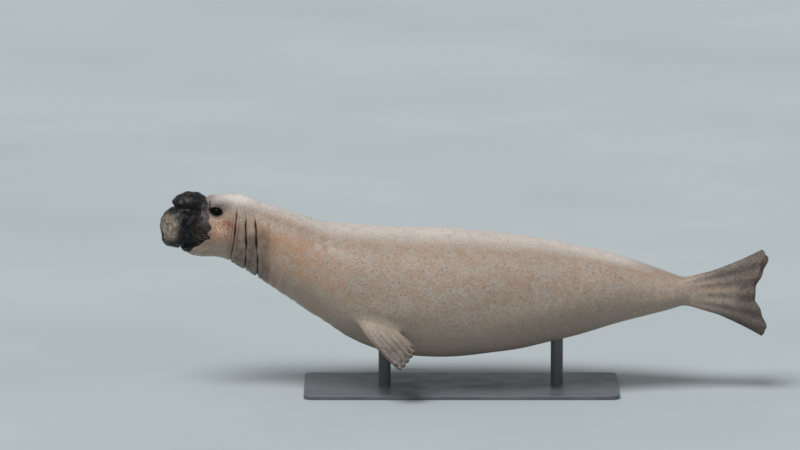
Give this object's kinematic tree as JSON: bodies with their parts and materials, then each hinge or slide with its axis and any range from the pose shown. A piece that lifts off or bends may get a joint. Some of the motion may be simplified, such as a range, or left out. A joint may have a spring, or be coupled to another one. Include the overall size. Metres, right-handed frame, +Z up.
{
  "type": "elephant seal",
  "caption": "Life-size bull elephant seal swimming with its head raised, held above a flat display stand by two short rods.",
  "frame": {"origin": "on the floor under the middle of the whole, at the middle of the underside of its bounding box", "axes": "+X from the head to the tail, +Y to the animal's right, +Z up"},
  "size_m": [4.4398, 1.401, 1.4716],
  "materials": {
    "skin": "short wet hair, tan to pale grey",
    "dark_skin": "wet bare and thinly haired skin, nearly black",
    "flipper_skin": "wet grey-brown skin",
    "eye": "wet and glossy",
    "claw": "dark horn",
    "stand": "satin grey paint"
  },
  "bodies": {
    "root": {"proboscis": "dark_skin", "head": "skin", "lower_jaw": "dark_skin", "neck": "skin", "chest": "skin", "belly": "skin", "hips": "skin", "tail": "skin", "fore_flipper_left": "flipper_skin", "fore_flipper_right": "flipper_skin", "hind_flipper_left": "flipper_skin", "hind_flipper_right": "flipper_skin", "eye_left": "eye", "eye_right": "eye", "stand_base": "stand", "stand_rod_front": "stand", "stand_rod_rear": "stand", "claw_left_1": "claw", "claw_left_2": "claw", "claw_left_3": "claw", "claw_left_4": "claw", "claw_left_5": "claw", "claw_right_1": "claw", "claw_right_2": "claw", "claw_right_3": "claw", "claw_right_4": "claw", "claw_right_5": "claw"}
  },
  "joints": []
}
